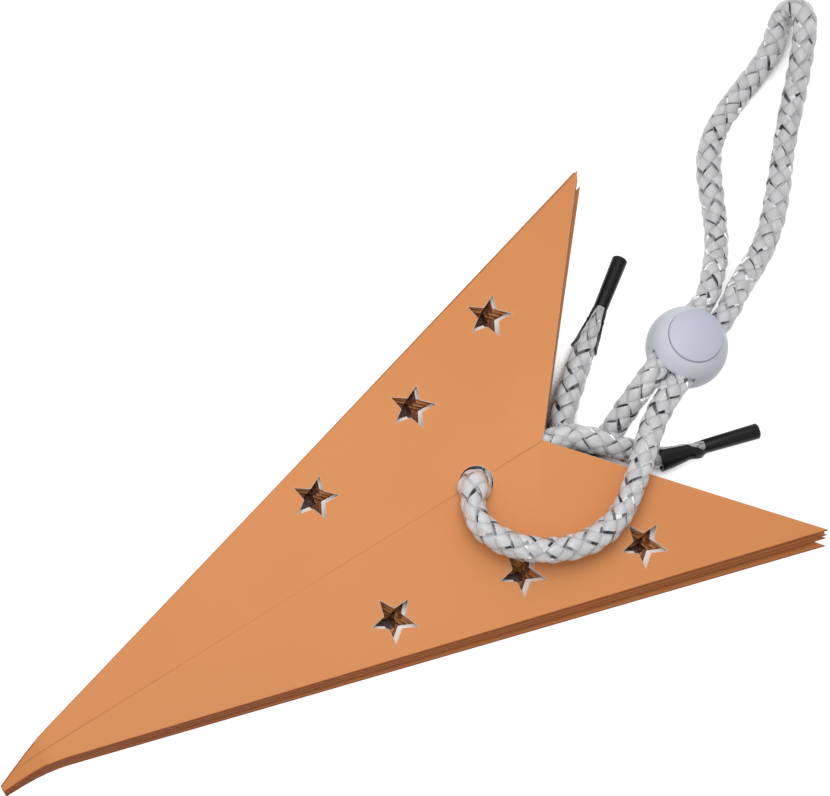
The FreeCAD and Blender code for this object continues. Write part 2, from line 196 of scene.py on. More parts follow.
def score_shade_mask(tree):
    """A thin mask along the crease, fainter in places, for the painted shade of the score."""
    place = tree.nodes.new("ShaderNodeTexCoord")
    parts = tree.nodes.new("ShaderNodeSeparateXYZ")
    tree.links.new(place.outputs["Object"], parts.inputs["Vector"])
    aside = maths(tree, "ABSOLUTE", parts.outputs["Y"])
    line = add(tree, "ShaderNodeMapRange", From_Min=SCORE_WIDTH, From_Max=0.3 * SCORE_WIDTH)
    line.interpolation_type = "SMOOTHSTEP"
    tree.links.new(aside, line.inputs["Value"])
    wear = add(tree, "ShaderNodeTexNoise", Scale=45.0, Detail=4.0)
    tree.links.new(place.outputs["Object"], wear.inputs["Vector"])
    patches = add(tree, "ShaderNodeMapRange", From_Min=0.35, From_Max=0.7, To_Min=0.1, To_Max=0.6)
    tree.links.new(wear.outputs["Fac"], patches.inputs["Value"])
    return maths(tree, "MULTIPLY", line.outputs["Result"], patches.outputs["Result"])


print("score:", round(SCORE_WIDTH / MM, 2), "mm to each side of the crease")

# %% [markdown]
# ## The coppery coat
#
# The card has a coat with a soft sheen on its outside. It isn't metal: it looks much the same
# from all sides, so a plain rough surface with some shine is right. Two near tones are mixed
# by the slow swells. A second copy, darker and duller, goes on the folds: its darker tones are
# painted shade, because the fold walls face away from the light.

# %% Copper card
# The score's darker copper is painted shade of its shallow groove.
SCORE_SHADE_COPPER = colour(158, 92, 48)
PLAIN_SHINE = 0.4
FOLDED_SHINE = 0.15


def copper_card(name, dark, light, shine):
    """The coated side of the card, with painted shade along the score."""
    material, tree, shader = new_material(name)
    group = unevenness(tree, shader, 0.02 * MM, Grain_Scale=1500.0, Swell_Scale=40.0, Swell_Share=0.3)
    tone = mix(tree, group.outputs["Mottle"], dark, light)
    with_score_shade = mix(tree, score_shade_mask(tree), tone, SCORE_SHADE_COPPER)
    tree.links.new(with_score_shade, shader.inputs["Base Color"])
    shader.inputs["Roughness"].default_value = 0.5
    shader.inputs["Specular IOR Level"].default_value = shine
    return material


COPPER = copper_card("copper card", colour(214, 135, 74), colour(222, 145, 82), PLAIN_SHINE)
# The fold tones are painted shade: the fold walls face away from the light.
FOLD_SHADE_TONES = (colour(150, 78, 36), colour(180, 100, 50))
SHADED_FOLD_COPPER = copper_card("copper card with painted fold shade", *FOLD_SHADE_TONES, FOLDED_SHINE)
print("materials:", COPPER.name, "and", SHADED_FOLD_COPPER.name)

# %% [markdown]
# ## The card's core
#
# The card is white right through, so its cut edges and the inside of the top arm are white.
# The arms below get a browner core, which is painted shade: deep in the stack little light
# reaches their cut edges and insides. Both are the same plain, rough paper in two tints.

# %% Card core


def card_core(name, tint):
    """The uncoated card, as its cut edges show it."""
    material, tree, shader = new_material(name)
    unevenness(tree, shader, 0.02 * MM, Grain_Scale=1500.0, Swell_Scale=60.0, Swell_Share=0.3)
    shader.inputs["Base Color"].default_value = tint
    shader.inputs["Roughness"].default_value = 0.7
    return material


CORE = card_core("white card core", colour(240, 230, 222))
# The browner core is painted shade for the arms below the top one.
SHADED_CORE = card_core("card core with painted shade", colour(128, 74, 48))
print("materials:", CORE.name, "and", SHADED_CORE.name)

# %% [markdown]
# ## Small helpers for modelling
#
# An operator acts on everything that is selected, and edit mode keeps its own selection of
# corners, edges or faces. So each step starts by selecting just what it needs, and the
# helpers below keep that in one place.

# %% Selection helpers


def only(piece):
    """Select one object and make it active."""
    bpy.ops.object.select_all(action="DESELECT")
    piece.select_set(True)
    bpy.context.view_layer.objects.active = piece


def in_edit_mode(piece, step, **settings):
    """Run one edit-mode operator on what is selected in the mesh."""
    only(piece)
    bpy.ops.object.mode_set(mode="EDIT")
    step(**settings)
    bpy.ops.object.mode_set(mode="OBJECT")


def select_mode(kind):
    """Set what edit mode selects, VERT, EDGE or FACE, with nothing selected yet."""
    bpy.ops.object.mode_set(mode="EDIT")
    bpy.ops.mesh.select_mode(type=kind)
    bpy.ops.mesh.select_all(action="DESELECT")
    bpy.ops.object.mode_set(mode="OBJECT")


def apply_modifier(piece, kind, **settings):
    """Add a modifier, set it and apply it."""
    only(piece)
    modifier = piece.modifiers.new(kind.title(), kind)
    for name, value in settings.items():
        setattr(modifier, name, value)
    bpy.ops.object.modifier_apply(modifier=modifier.name)


def smooth_up_to(piece, degrees):
    """Shade a piece smooth wherever its faces turn by less than an angle."""
    only(piece)
    bpy.ops.object.shade_smooth_by_angle(angle=math.radians(degrees))


print("modelling helpers: only, in_edit_mode, select_mode, apply_modifier, smooth_up_to")

# %% [markdown]
# To finish one, it is copied, its doubled corners are merged, and its flat triangles are
# joined to large faces. Then a bevel finds real edges to work on.

# %% A copy to finish
DOUBLED_WITHIN = 0.001 * MM
FLAT_WITHIN = math.radians(0.3)


def merged_copy(node, name):
    """A copy of a solid with its loose triangles merged, to be finished in its place."""
    piece = nodes[node].copy()
    piece.data = nodes[node].data.copy()
    piece.name = name
    piece.parent = None
    for note in [key for key in piece.keys() if key.startswith("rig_")]:
        del piece[note]
    bpy.context.collection.objects.link(piece)
    piece.data.materials.clear()
    only(piece)
    select_mode("VERT")
    bpy.ops.object.mode_set(mode="EDIT")
    bpy.ops.mesh.select_all(action="SELECT")
    bpy.ops.mesh.remove_doubles(threshold=DOUBLED_WITHIN)
    bpy.ops.mesh.dissolve_limited(angle_limit=FLAT_WITHIN)
    bpy.ops.object.mode_set(mode="OBJECT")
    return piece


def stands_for(piece, node, body):
    """The piece moves with its body and is shown instead of the plain solid."""
    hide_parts(node)
    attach(piece, body)


print("corners closer than", DOUBLED_WITHIN, "m are merged")

# %% [markdown]
# ## The round of a fold
#
# Each arm is a creased dart of two sheets, joined in the folds along its two long edges. Card
# never folds to a sharp edge. The folds could be modelled as bent strips, but the solid
# already has walls there, so a small bevel on their top and bottom edges is enough. The edges
# are found by their place: they lie on the lines from the tip to the wing corners.

# %% Round the folds
FOLD_ROUND = 0.26 * MM
SHORTEST_FOLD = 0.3 * MM


def along_ridges(piece, reach=0.05 * MM):
    """A test of whether a point lies on the plan lines from the tip to the wing corners."""
    corners = [vertex.co for vertex in piece.data.vertices]
    tip = min(corners, key=lambda co: co.x)
    wings = [max(corners, key=lambda co: side * co.y) for side in (1, -1)]

    def test(co):
        for wing in wings:
            run = Vector((wing.x - tip.x, wing.y - tip.y)).normalized()
            aside = (co.x - tip.x) * run.y - (co.y - tip.y) * run.x
            if abs(aside) < reach:
                return True
        return False

    return test


def round_folds(piece):
    """Bevel the top and bottom edges of the fold walls."""
    on_ridge = along_ridges(piece)
    only(piece)
    select_mode("EDGE")
    mesh = piece.data
    for edge in mesh.edges:
        first, second = (mesh.vertices[i].co for i in edge.vertices)
        flat_run = math.hypot(first.x - second.x, first.y - second.y)
        edge.select = flat_run > SHORTEST_FOLD and on_ridge(first) and on_ridge(second)
    in_edit_mode(piece, bpy.ops.mesh.bevel, offset=FOLD_ROUND, segments=3, affect="EDGES")


print("fold round:", round(FOLD_ROUND / MM, 2), "mm")

# %% [markdown]
# ## Blunt cut edges
#
# A punch presses the card's edge down a little, so the white core shows as a thin line round
# each window. A bevel modifier that works by angle finds all the cut edges by itself, which
# is quicker and surer than selecting hundreds of them.

# %% Blunt the cuts
CUT_BLUNT = 0.11 * MM
CUT_ANGLE = math.radians(60)


def blunt_cuts(piece):
    """Take the sharp corner off every cut edge, so that the white core shows from above."""
    limits = {"limit_method": "ANGLE", "angle_limit": CUT_ANGLE}
    apply_modifier(piece, "BEVEL", width=CUT_BLUNT, segments=1, **limits)


print("cut edges are blunted by", round(CUT_BLUNT / MM, 2), "mm")

# %% [markdown]
# ## Copper outside, white inside
#
# Only the outside of the card is coated. Painting it by hand would mean picking faces on
# seven arms. Instead each flat face looks straight ahead along its normal: where it sees the
# same arm's other sheet it is inside, and gets the core. Upright faces are cut edges, and get
# the core too, unless they lie on a fold, where the coat runs round.

# %% Paint the sides
FLAT_FROM = 0.93
FOLD_REACH = 0.3 * MM
LOOK_FROM = 0.01 * MM
LOOK_AHEAD = 20 * MM


def paint_sides(piece, core):
    """Copper outside, a darker copy with painted fold shade on the folds, the core on cut edges and
    inside.
    """
    mesh = piece.data
    coated, uncoated, folded = range(3)
    for material in (COPPER, core, SHADED_FOLD_COPPER):
        mesh.materials.append(material)
    tree = BVHTree.FromPolygons([v.co for v in mesh.vertices], [p.vertices for p in mesh.polygons])
    on_ridge = along_ridges(piece, FOLD_REACH)
    inside = 0
    for face in mesh.polygons:
        if abs(face.normal.z) > FLAT_FROM:
            ahead = Vector((0, 0, math.copysign(1, face.normal.z)))
            hit = tree.ray_cast(face.center + LOOK_FROM * ahead, ahead, LOOK_AHEAD)
            face.material_index = coated if hit[0] is None else uncoated
        else:
            # Fold walls get the darker copper copy, which is painted shade.
            face.material_index = folded if on_ridge(face.center) else uncoated
        inside += face.material_index == uncoated
    return inside


print("a face is flat where its normal rises by more than", FLAT_FROM)

# %% [markdown]
# ## The squeezed tip
#
# The closed tip of the stack is blunt, pressed thin and swung a little to one side. Blender's
# bend tool needs a window, so the last stretch is cut across several times with bisect, and
# its corners are then moved. The shift grows with the square of the nearness to the tip, so
# the curl starts smoothly.

# %% Curl the tip
CURL_REACH = 12 * MM
CURL_ASIDE = 1.6 * MM
CURL_PRESS = 0.2
CURL_CUTS = 7
TIP_BLUNT = 2.6 * MM


def curl_tip(piece):
    """Swing the last stretch of the arm aside and press it down, as a squeezed tip is."""
    tip_x = min(vertex.co.x for vertex in piece.data.vertices)
    blunt_x = tip_x + TIP_BLUNT
    only(piece)
    bpy.ops.object.mode_set(mode="EDIT")
    bpy.ops.mesh.select_all(action="SELECT")
    bpy.ops.mesh.bisect(plane_co=(blunt_x, 0, 0), plane_no=(-1, 0, 0), use_fill=True, clear_outer=True)
    for share in range(1, CURL_CUTS + 1):
        bpy.ops.mesh.select_all(action="SELECT")
        cut_x = tip_x + CURL_REACH * share / CURL_CUTS
        bpy.ops.mesh.bisect(plane_co=(cut_x, 0, 0), plane_no=(1, 0, 0))
    bpy.ops.object.mode_set(mode="OBJECT")
    for vertex in piece.data.vertices:
        nearness = 1 - (vertex.co.x - blunt_x) / (CURL_REACH - TIP_BLUNT)
        if nearness > 0:
            vertex.co.x -= TIP_BLUNT * nearness**2
            vertex.co.y -= CURL_ASIDE * nearness**2
            vertex.co.z *= 1 - CURL_PRESS * nearness**2


print("the curl reaches", round(CURL_REACH / MM, 1), "mm from the tip")

# %% [markdown]
# ## All seven arms
#
# Every arm gets the same steps in the same order. The curl comes last, because the steps
# before it find their edges on straight lines. A narrow smoothing angle hides the cuts of the
# curl and leaves the folds crisp.

# %% Finish the arms
CURL_SMOOTHING = 8
for name in sorted(node for node in nodes if node.startswith("arm_")):
    arm = merged_copy(name, f"card_{name}")
    round_folds(arm)
    blunt_cuts(arm)
    # Arms below the top one get the core with painted shade.
    white_faces = paint_sides(arm, CORE if name == "arm_1" else SHADED_CORE)
    curl_tip(arm)
    smooth_up_to(arm, CURL_SMOOTHING)
    stands_for(arm, name, "star")
    print(name, "faces", len(arm.data.polygons), "of them white", white_faces)

# %% [markdown]
# ## The cord's way
#
# The cord is a limp, hollow braid of 4.4 mm. Its way could be simulated, but a hand-laid cord
# lies as it happens to. So its way is a list of given points, and a smooth spline
# runs through them. Inside the lock both strands run straight, side by side, so those points
# are worked out from the lock's own place and turn.

# %% Through the lock
CORD_DIAMETER = 4.4 * MM
LOCK_CENTRE = Vector((71.3, 1.2, 7.5)) * MM
LOCK_TURN = Euler([math.radians(a) for a in (5.0, 7.0, 22.4)], "XYZ").to_matrix()
STRAND_SPACING = 4.6 * MM
STRAND_HEIGHT = 1.1 * MM
LOCK_REACH = 10.6 * MM
LOCK_MOUTH = 7.6 * MM


def in_lock(along, side):
    """A point of one strand on its straight way through the lock."""
    local = Vector((along, side * STRAND_SPACING / 2, STRAND_HEIGHT))
    return LOCK_CENTRE + LOCK_TURN @ local


print("a strand enters the lock at", [round(level / MM, 1) for level in in_lock(-LOCK_MOUTH, 1)])

# %% [markdown]
# The free stretches, in millimetres: from the first barb to the lock, round the hanging loop,
# and from the lock over the star, into its hole, out at the notch and on to the other barb.

# %% Listed points
BACK_STRAND = [
    (61.1, 15.0, 2.65),
    (55.6, 11.1, 2.65),
    (51.0, 7.4, 2.4),
    (47.0, 4.1, 2.3),
    (44.4, 1.5, 2.3),
    (44.4, -2.1, 2.3),
    (47.0, -4.7, 2.3),
    (50.8, -4.5, 2.9),
    (54.1, -3.1, 5.5),
    (57.3, -1.9, 7.9),
]
LOOP = [
    (83.0, 9.8, 6.6),
    (86.8, 13.2, 4.2),
    (90.6, 18.2, 2.6),
    (94.1, 25.0, 2.3),
    (97.4, 31.0, 2.3),
    (102.6, 35.2, 2.3),
    (109.6, 38.1, 2.3),
    (116.2, 40.4, 2.3),
    (121.3, 43.2, 2.3),
    (125.5, 46.9, 2.4),
    (128.1, 46.4, 5.2),
    (127.4, 42.6, 6.9),
    (123.6, 38.1, 5.6),
    (119.7, 33.9, 3.6),
    (115.2, 29.5, 2.4),
    (110.4, 24.6, 2.3),
    (105.2, 18.8, 2.3),
    (99.8, 13.3, 2.4),
    (94.6, 9.7, 3.0),
    (89.6, 7.4, 4.3),
    (84.8, 4.9, 6.8),
]
FRONT_STRAND = [
    (57.7, -7.6, 9.7),
    (53.5, -11.0, 10.4),
    (49.2, -14.6, 10.9),
    (43.2, -19.0, 11.1),
    (36.4, -20.6, 11.3),
    (29.6, -18.9, 11.6),
    (24.4, -15.3, 12.0),
    (20.8, -10.8, 12.4),
    (20.0, -5.6, 12.4),
    (22.9, -1.2, 11.2),
    (25.3, 0.3, 6.45),
    (31.4, 0.1, 6.66),
    (38.0, 0.1, 6.78),
    (43.6, -0.9, 7.0),
    (47.6, -4.6, 6.85),
    (51.6, -8.4, 5.0),
    (55.7, -12.4, 2.65),
    (61.9, -14.1, 2.65),
]
print("points by hand:", len(BACK_STRAND) + len(LOOP) + len(FRONT_STRAND))

# %% [markdown]
# The stretches are joined in order, with the straight ways through the lock between them. At
# both ends the cord goes a little further, squeezed thin, into the neck of its barb.

# %% Join the stretches
SQUEEZED_TIP = 3.2 * MM


def points(rows):
    """Rows of millimetres as points in metres."""
    return [Vector(row) * MM for row in rows]


def tip_beyond(end, before):
    """Where the squeezed tip of the cord ends, inside the barb's neck."""
    return end + (end - before).normalized() * SQUEEZED_TIP


back, loop, front = points(BACK_STRAND), points(LOOP), points(FRONT_STRAND)
route = [tip_beyond(back[0], back[1])] + back
route += [in_lock(along, 1) for along in (-LOCK_REACH, -LOCK_MOUTH, LOCK_MOUTH, LOCK_REACH)]
route += loop
route += [in_lock(along, -1) for along in (LOCK_REACH, LOCK_MOUTH, -LOCK_MOUTH, -LOCK_REACH)]
route += front + [tip_beyond(front[-1], front[-2])]
print("points of the whole way:", len(route))

# %% [markdown]
# The spline is a NURBS curve of order 3. Its own line is read back as a mesh with no
# thickness, and cut into short even steps, because the braid is built on rings that are
# evenly spaced along it.

# %% The smooth line
RING_STEP = 0.3 * MM


def smooth_line(control):
    """Points along a NURBS spline that has these control points."""
    curve = bpy.data.curves.new("cord_route", "CURVE")
    curve.dimensions = "3D"
    spline = curve.splines.new("NURBS")
    spline.points.add(len(control) - 1)
    for knot, place in zip(spline.points, control):
        knot.co = (*place, 1)
    spline.order_u = 3
    spline.use_endpoint_u = True
    spline.resolution_u = 12
    guide = bpy.data.objects.new("cord_route", curve)
    bpy.context.collection.objects.link(guide)
    bpy.context.view_layer.update()
    line = bpy.data.meshes.new_from_object(guide)
    found = [vertex.co.copy() for vertex in line.vertices]
    bpy.data.objects.remove(guide)
    return found


def evenly(line, step):
    """The same line with its points an even distance apart, and how far along each is."""
    line = np.array(line)
    runs = np.linalg.norm(np.diff(line, axis=0), axis=1)
    reach = np.concatenate([[0], np.cumsum(runs)])
    count = int(reach[-1] / step) + 1
    marks = np.linspace(0, reach[-1], count)
    return np.stack([np.interp(marks, reach, line[:, i]) for i in range(3)], axis=1), marks


line, marks = evenly(smooth_line(route), RING_STEP)
print("cord length", round(marks[-1] / MM, 1), "mm in", len(line), "rings")

# %% [markdown]
# ## The braid's pattern
#
# A braid is two sets of yarns that wind opposite ways and pass over and under each other. It
# could be woven from separate tubes, but hundreds of crossings would cut into each other.
# Instead the braid is one tube. Counting turns along both sets gives two numbers for each
# point of its surface, and their whole parts tell which yarn lies on top there.

# %% Count the yarns
YARNS = 4
BRAID_LEAD = 14.4 * MM
AROUND = 40
WANDER = ((0.05, 5.1 * MM, 1.0), (0.04, 2.3 * MM, 0.0))
turn = np.linspace(0, 2 * math.pi, AROUND + 1)


def slow_waves(marks, waves):
    """A few sine waves along the cord, each with its height, length and start."""
    return sum(height * np.sin(marks / length + start) for height, length, start in waves)


def yarn_counts(marks):
    """How many yarns of each set have gone by, at each ring and each step round it."""
    lead = marks[:, None] / BRAID_LEAD
    wander = slow_waves(marks, WANDER)
    right = YARNS * (turn / (2 * math.pi) + lead + wander[:, None])
    left = YARNS * (turn / (2 * math.pi) - lead + wander[:, None])
    return right, left


right_count, left_count = yarn_counts(marks)
print("turns of the braid:", round(marks[-1] / BRAID_LEAD, 1))

# %% [markdown]
# ## How thick the cord is
#
# Each crossing bulges like a small pillow: highest in its middle, and low where the yarn
# dives under the next. Added to that are the slow swells of a soft cord, a bulge where it
# fills its hole in the card, and the squeeze towards both ends, inside the barbs.

# %% The radius at each point
PILLOW = 0.34 * MM
PILLOW_SINK = 0.55
PILLOW_ROUNDNESS = 0.55
TIP_RADIUS = 0.7 * MM
SQUEEZED_RUN = 10.5 * MM
CORD_HOLE = Vector((24.4, 0.0, 10.2)) * MM
HOLE_SWELL = 0.4
HOLE_FILLED_UP_TO = 1.0 * MM
HOLE_SWELL_ENDS = 4.5 * MM
SOFT_SWELLS = ((0.03, 6.7 * MM, 0.0), (0.03, 3.1 * MM, 2.0))
CORD_RADIUS = CORD_DIAMETER / 2


def smooth_step(value, low, high):
    """From 0 at low to 1 at high, starting and ending softly."""
    share = np.clip((value - low) / (high - low), 0, 1)
    return share * share * (3 - 2 * share)


def braid_radius(line, marks, right, left):
    """The distance from the cord's middle to its surface."""
    swell = 1 + slow_waves(marks, SOFT_SWELLS)
    from_hole = np.linalg.norm(line - np.array(CORD_HOLE), axis=1)
    swell += HOLE_SWELL * (1 - smooth_step(from_hole, HOLE_FILLED_UP_TO, HOLE_SWELL_ENDS))
    woven = np.abs(np.sin(math.pi * right) * np.sin(math.pi * left))
    pillow = PILLOW * (woven**PILLOW_ROUNDNESS - PILLOW_SINK)
    radius = CORD_RADIUS * swell[:, None] + pillow
    end = np.minimum(marks, marks[-1] - marks)
    squeezed = np.clip(end / SQUEEZED_RUN, 0, 1)
    return radius * (TIP_RADIUS / CORD_RADIUS * (1 - squeezed) + squeezed)[:, None]


radius = braid_radius(line, marks, right_count, left_count)
print("radius from", round(radius.min() / MM, 2), "to", round(radius.max() / MM, 2), "mm")

# %% [markdown]
# ## Rings round the line
#
# A ring needs two directions across the cord. Taken afresh at each point they could flip over
# in a bend, and the braid would twist there. So they are carried along from ring to ring, and
# each time turned as little as the bend asks.

# %% Lay the rings


def carried_frames(line):
    """Two sideways directions at each ring, carried along with the least twist."""
    ahead = np.gradient(line, axis=0)
    ahead /= np.linalg.norm(ahead, axis=1)[:, None]
    first = np.cross(ahead[0], (0, 0, 1.0))
    first /= np.linalg.norm(first)
    sideways = [first]
    for direction in ahead[1:]:
        turned = sideways[-1] - direction * (sideways[-1] @ direction)
        sideways.append(turned / np.linalg.norm(turned))
    sideways = np.array(sideways)
    return sideways, np.cross(ahead, sideways)


sideways, upward = carried_frames(line)
offset = radius[..., None] * (
    np.cos(turn)[None, :, None] * sideways[:, None, :]
    + np.sin(turn)[None, :, None] * upward[:, None, :]
)
print("rings:", offset.shape[0], "with", offset.shape[1] - 1, "corners each")

# %% [markdown]
# ## Pinched in the lock
#
# The spring lifts the button, and the button presses both strands flat inside the ball. Each
# ring is turned into the lock's own directions, made lower there, and turned back. Near the
# ball's mouths the squeeze fades out, so the cord is round again where it is seen.

# %% Squeeze the rings in the lock
FLAT_IN_LOCK = 1.3 * MM
FLAT_UP_TO = 5.0 * MM
ROUND_FROM = 10.5 * MM
HALF_LOCK_WIDTH = 6 * MM


def squeeze_in_lock(offset, line):
    """Flatten the rings between the button and the ball."""
    lock_axes = np.array(LOCK_TURN)
    local = (line - np.array(LOCK_CENTRE)) @ lock_axes
    near = 1 - smooth_step(np.abs(local[:, 0]), FLAT_UP_TO, ROUND_FROM)
    near *= np.abs(local[:, 1]) < HALF_LOCK_WIDTH
    squash = np.ones((len(line), 3))
    squash[:, 2] += near * (FLAT_IN_LOCK / CORD_RADIUS - 1)
    return ((offset @ lock_axes) * squash[:, None, :]) @ lock_axes.T


rings = line[:, None, :] + squeeze_in_lock(offset, line)
print("the cord is pinched to", round(2 * FLAT_IN_LOCK / MM, 1), "mm in the lock")

# %% [markdown]
# ## The braid's mesh
#
# Neighbouring rings are joined with four-sided faces, and each end gets a cap. The two yarn
# counts go along as the UV map, so that the material can lay its tinsel beside each yarn,
# wherever the cord bends.

# %% Build the braid


def grid_mesh(name, rings, right, left):
    """A closed tube of quads from its rings, with the braid's counts as its UV map."""
    count, around = rings.shape[0], rings.shape[1] - 1
    corners = rings[:, :-1].reshape(-1, 3)
    faces = []
    uv = []
    for i in range(count - 1):
        for j in range(around):
            k = (j + 1) % around
            faces.append((i * around + j, i * around + k, (i + 1) * around + k, (i + 1) * around + j))
            for row, column in ((i, j), (i, j + 1), (i + 1, j + 1), (i + 1, j)):
                uv += [right[row, column], left[row, column]]
    for row, order in ((0, 1), (count - 1, -1)):
        cap = list(range(row * around, (row + 1) * around))
        faces.append(tuple(cap if order == -1 else reversed(cap)))
        uv += [0.5, 0.5] * around
    mesh = bpy.data.meshes.new(name)
    mesh.from_pydata([tuple(c) for c in corners], [], faces)
    mesh.uv_layers.new(name="braid").data.foreach_set("uv", np.array(uv, np.float32))
    mesh.validate()
    return mesh


braid = bpy.data.objects.new("braided_cord", grid_mesh("braided_cord", rings, right_count, left_count))
bpy.context.collection.objects.link(braid)
only(braid)
bpy.ops.object.shade_smooth()
in_edit_mode(braid, bpy.ops.mesh.select_all, action="SELECT")
in_edit_mode(braid, bpy.ops.mesh.normals_make_consistent, inside=False)
print("braid faces", len(braid.data.polygons))

# %% [markdown]
# ## Which yarn a point is on
#
# In the material the two counts come back out of the UV map. Where the sum of their whole
# parts is odd, the other set lies on top. So a switch between the two gives how far across
# the upper yarn a point lies, from 0 at one border to 1 at the other.

# %% Across the yarn


def braid_counts(tree):
    """The two yarn counts out of the braid's UV map."""
    spot = tree.nodes.new("ShaderNodeUVMap")
    spot.uv_map = "braid"
    split = tree.nodes.new("ShaderNodeSeparateXYZ")
    tree.links.new(spot.outputs["UV"], split.inputs["Vector"])
    return split.outputs["X"], split.outputs["Y"]


def across_yarn(tree, right, left):
    """How far across the yarn on top a point lies."""
    whole = maths(tree, "ADD", maths(tree, "FLOOR", right), maths(tree, "FLOOR", left))
    across = tree.nodes.new("ShaderNodeMix")
    tree.links.new(maths(tree, "FLOORED_MODULO", whole, 2.0), across.inputs["Factor"])
    tree.links.new(maths(tree, "FRACT", right), across.inputs["A"])
    tree.links.new(maths(tree, "FRACT", left), across.inputs["B"])
    return across.outputs[0]


print("yarns in each set:", YARNS)

# %% [markdown]
# ## Tinsel
#
# Tinsel is a narrow strip of silvered film, laid in beside each yarn. It could be thousands
# of thin ribbons, but it lies flat in the braid. So it is a mask near one border of the yarn,
# now wider and now narrower. Each short stretch of film mirrors something else, so its
# reflection is painted: a random number for each half crossing picks a dark, a grey or a
# bright tone.

# %% Tinsel strip and painted reflections
STRIP_PLACE = 0.13
DARKEST_FILM_REFLECTION = colour(30, 30, 34)
PAINTED_FILM_REFLECTIONS = (
    (0.22, colour(112, 112, 116)),
    (0.52, colour(165, 165, 169)),
    (0.8, colour(245, 245, 248)),
)


def tinsel_strip(tree, across, spread):
    """A mask for the strip of film beside the yarn, of uneven width."""
    width = add(tree, "ShaderNodeTexNoise", Scale=260.0, Detail=1.0)
    tree.links.new(spread, width.inputs["Vector"])
    half_width = maths(tree, "MULTIPLY_ADD", width.outputs["Fac"], 0.3, -0.07)
    return maths(tree, "COMPARE", across, STRIP_PLACE, half_width)


def painted_film_reflection(tree, right, left):
    """One painted reflection tone for each half crossing, picked at random."""
    cell = tree.nodes.new("ShaderNodeCombineXYZ")
    for count, axis in ((right, "X"), (left, "Y")):
        tree.links.new(maths(tree, "FLOOR", maths(tree, "MULTIPLY", count, 2.0)), cell.inputs[axis])
    chance = tree.nodes.new("ShaderNodeTexWhiteNoise")
    chance.noise_dimensions = "3D"
    tree.links.new(cell.outputs["Vector"], chance.inputs["Vector"])
    shine = tree.nodes.new("ShaderNodeValToRGB")
    ramp = shine.color_ramp
    ramp.interpolation = "CONSTANT"
    ramp.elements.remove(ramp.elements[1])
    ramp.elements[0].color = DARKEST_FILM_REFLECTION
    for start, tint in PAINTED_FILM_REFLECTIONS:
        ramp.elements.new(start).color = tint
    tree.links.new(chance.outputs["Value"], shine.inputs["Fac"])
    return shine.outputs["Color"]


print("tones of the film:", 1 + len(PAINTED_FILM_REFLECTIONS))

# %% [markdown]
# ## Yarn
#
# The yarns are white and satiny, with fine filaments along their own way. A yarn's colour is
# painted a little greyer where it dives under the next: painted shade, because less light gets
# there. The filaments are too fine for the mesh, so they are waves across the yarn with some
# loose fuzz, for a bump.

# %% Yarn tone and filaments
YARN_SHADE_IN_HOLLOWS = colour(212, 212, 215)
YARN_CROWN = colour(245, 245, 247)
FILAMENT_WAVES = 75.0
LOOSE_FUZZ = 1.6


def yarn_tone(tree, right, left):
    """Nearly white on the crown of a yarn, and greyer in the hollows, as painted shade."""
    waves = []
    for count in (right, left):
        waves.append(maths(tree, "SINE", maths(tree, "MULTIPLY", maths(tree, "FRACT", count), math.pi)))
    hollow = add(tree, "ShaderNodeMapRange", From_Min=0.0, From_Max=0.35)
    tree.links.new(maths(tree, "MULTIPLY", *waves), hollow.inputs["Value"])
    return mix(tree, hollow.outputs["Result"], YARN_SHADE_IN_HOLLOWS, YARN_CROWN)


def filaments(tree, across, spread):
    """A height for the bump: fine waves along the yarn, and fuzz."""
    streak = maths(tree, "SINE", maths(tree, "MULTIPLY", across, FILAMENT_WAVES))
    fuzz = add(tree, "ShaderNodeTexNoise", Scale=1400.0, Detail=3.0)
    tree.links.new(spread, fuzz.inputs["Vector"])
    return maths(tree, "MULTIPLY_ADD", fuzz.outputs["Fac"], LOOSE_FUZZ, streak)


print("filaments across a yarn: about", round(FILAMENT_WAVES / (2 * math.pi)))

# %% [markdown]
# ## The cord's material
#
# Now the pieces come together. The tinsel mask switches colour, metal and roughness over from
# yarn to film. A thin clear coat with no bump in it gives each crossing one soft highlight,
# as satin yarn has.

# %% Cord material
YARN_ROUGHNESS = 0.32
FILM_ROUGHNESS = 0.2


def braid_material():
    """White satin yarn with silvered film in it."""
    material, tree, shader = new_material("white braid with tinsel")
    spread = tree.nodes.new("ShaderNodeTexCoord").outputs["Object"]
    right, left = braid_counts(tree)
    across = across_yarn(tree, right, left)
    strip = tinsel_strip(tree, across, spread)
    tone = mix(tree, strip, yarn_tone(tree, right, left), painted_film_reflection(tree, right, left))
    tree.links.new(tone, shader.inputs["Base Color"])
    tree.links.new(strip, shader.inputs["Metallic"])
    rough = add(tree, "ShaderNodeMapRange", To_Min=YARN_ROUGHNESS, To_Max=FILM_ROUGHNESS)
    tree.links.new(strip, rough.inputs["Value"])
    tree.links.new(rough.outputs["Result"], shader.inputs["Roughness"])
    bump = add(tree, "ShaderNodeBump", Distance=0.06 * MM, Strength=1.0)
    tree.links.new(filaments(tree, across, spread), bump.inputs["Height"])
    tree.links.new(bump.outputs["Normal"], shader.inputs["Normal"])
    shader.inputs["Specular IOR Level"].default_value = 0.8
    shader.inputs["Sheen Weight"].default_value = 0.2
    shader.inputs["Coat Weight"].default_value = 0.7
    shader.inputs["Coat Roughness"].default_value = 0.16
    return material


braid.data.materials.append(braid_material())
print("cord material:", braid.data.materials[0].name)

# %% [markdown]
# ## The cord lock
#
# The lock is a moulded ball with a push button. Both are white plastic with a blue tinge, and
# light goes a little way into it. Moulded edges are never sharp. The solids have the right
# shape, so copies of them get those edges with a bevel that works by angle.

# %% Moulded plastic
MOULDED_FROM = 0.6
MOULDED_SMOOTHING = 35


